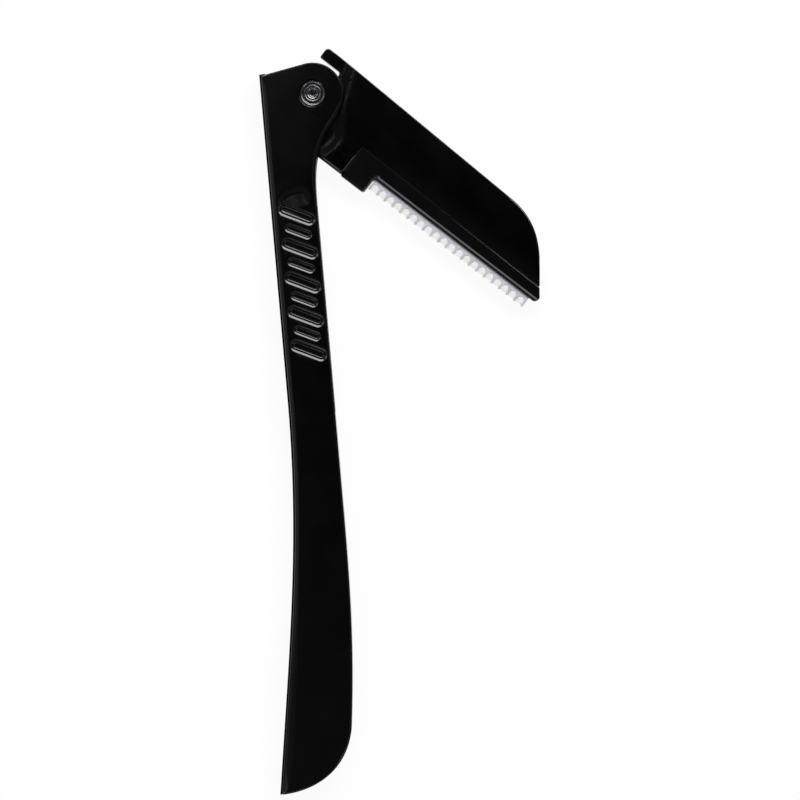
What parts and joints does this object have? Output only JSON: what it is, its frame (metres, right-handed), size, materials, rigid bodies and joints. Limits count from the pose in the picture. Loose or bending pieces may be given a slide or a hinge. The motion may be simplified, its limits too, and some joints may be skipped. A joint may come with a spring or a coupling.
{
  "type": "folding eyebrow razor",
  "caption": "Folding eyebrow razor with a guarded straight blade; the head turns on a rivet out of a slim slotted handle with a slanted grip.",
  "frame": {"origin": "middle of the footprint of the half-open razor, on the plane that its back cheek lies on", "axes": "+X to the side that the head opens to, +Y up along the handle towards the pivot, +Z out of the back cheek towards the front; the hinge turns about Z"},
  "size_m": [0.0406, 0.1078, 0.0052],
  "materials": {
    "handle_plastic": "satin black moulded plastic",
    "head_plastic": "smooth black moulded plastic",
    "rivet_steel": "blackened steel, rubbed bright on its edges",
    "washer_plastic": "natural acetal",
    "blade_steel": "fine ground steel",
    "guard_steel": "stamped steel sheet with a bluish tone"
  },
  "bodies": {
    "handle": {"handle_back_shell": "handle_plastic", "handle_front_shell": "handle_plastic", "pivot_rivet": "rivet_steel", "rivet_front_washer": "rivet_steel", "rivet_back_washer": "rivet_steel", "friction_washer_front": "washer_plastic", "friction_washer_back": "washer_plastic"},
    "head": {"head_front_shell": "head_plastic", "head_back_shell": "head_plastic", "blade_carrier_front": "head_plastic", "blade_carrier_back": "head_plastic", "razor_blade": "blade_steel", "guard_comb": "guard_steel"}
  },
  "joints": [
    {"name": "head_fold", "type": "hinge", "parent": "handle", "child": "head", "pos_m": [-0.01255, 0.04735, 0.0026], "axis": [0, 0, 1], "range_deg": [-45.8, 132.5]}
  ]
}
